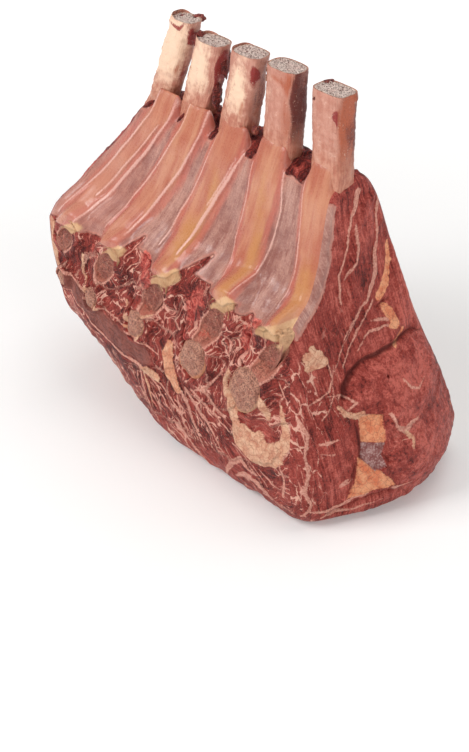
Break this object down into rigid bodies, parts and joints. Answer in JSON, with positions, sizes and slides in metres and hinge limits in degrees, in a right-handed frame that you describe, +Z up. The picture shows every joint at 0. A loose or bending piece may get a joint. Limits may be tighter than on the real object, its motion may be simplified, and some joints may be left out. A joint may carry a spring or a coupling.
{
  "type": "raw beef rib roast",
  "caption": "Raw beef rib roast standing on its flat underside, with cleaned rib ends up, hollow membrane-lined inner side, sawn backbone face and a bulging marbled cut end.",
  "frame": {"origin": "centre of the bounding box, on the surface the roast stands on", "axes": "X runs along the backbone towards the larger cut end, Y runs away from the hollow inner side, Z is up along the ribs"},
  "size_m": [0.299, 0.1517, 0.302],
  "materials": {
    "meat": "moist raw red muscle with cream fat seams and a glossy membrane",
    "rib_bone": "scraped pinkish tan bone, satin and moist",
    "chine_bone": "sawn spongy bone with red marrow speckle"
  },
  "bodies": {
    "root": {"meat": "meat", "rib_1": "rib_bone", "rib_2": "rib_bone", "rib_3": "rib_bone", "rib_4": "rib_bone", "rib_5": "rib_bone", "chine_stub_1": "chine_bone", "chine_stub_2": "chine_bone", "chine_stub_3": "chine_bone", "chine_stub_4": "chine_bone", "chine_stub_5": "chine_bone"}
  },
  "joints": []
}
